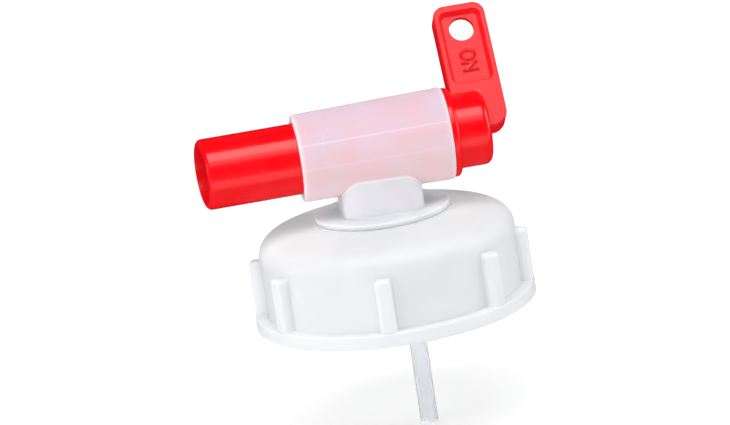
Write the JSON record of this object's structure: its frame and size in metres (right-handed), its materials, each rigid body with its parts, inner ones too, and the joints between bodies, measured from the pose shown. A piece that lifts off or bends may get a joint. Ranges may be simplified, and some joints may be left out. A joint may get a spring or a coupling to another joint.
{
  "type": "jerrycan tap",
  "caption": "Screw cap for a jerrycan neck with a swivelling pouring tap: a turning hollow plug with spout and lever, and a vent tube.",
  "frame": {"origin": "on the cap's axis, in the plane of the gasket's sealing face, where the canister's rim seats", "axes": "+Z out of the canister along the cap's axis, -X along the spout to its mouth, -Y the side that the lever's lettered face looks to"},
  "size_m": [0.0787, 0.07, 0.1005],
  "materials": {
    "white_cap": "satin",
    "clear_body": "satin",
    "red_plug": "gloss",
    "clear_tube": "gloss",
    "gasket": "satin"
  },
  "bodies": {
    "cap": {"screw_cap": "white_cap", "neck_gasket": "gasket"},
    "tap": {"tap_body": "clear_body", "swivel_seal": "gasket", "vent_tube": "clear_tube"},
    "plug": {"plug_lever": "red_plug"}
  },
  "joints": [
    {"name": "tap_swivel", "type": "hinge", "parent": "cap", "child": "tap", "pos_m": [0, 0, 0.00905], "axis": [0, 0, 1], "continuous": true},
    {"name": "plug_turn", "type": "hinge", "parent": "tap", "child": "plug", "pos_m": [0, 0, 0.0261], "axis": [-1, 0, 0], "range_deg": [-123, 57]}
  ]
}
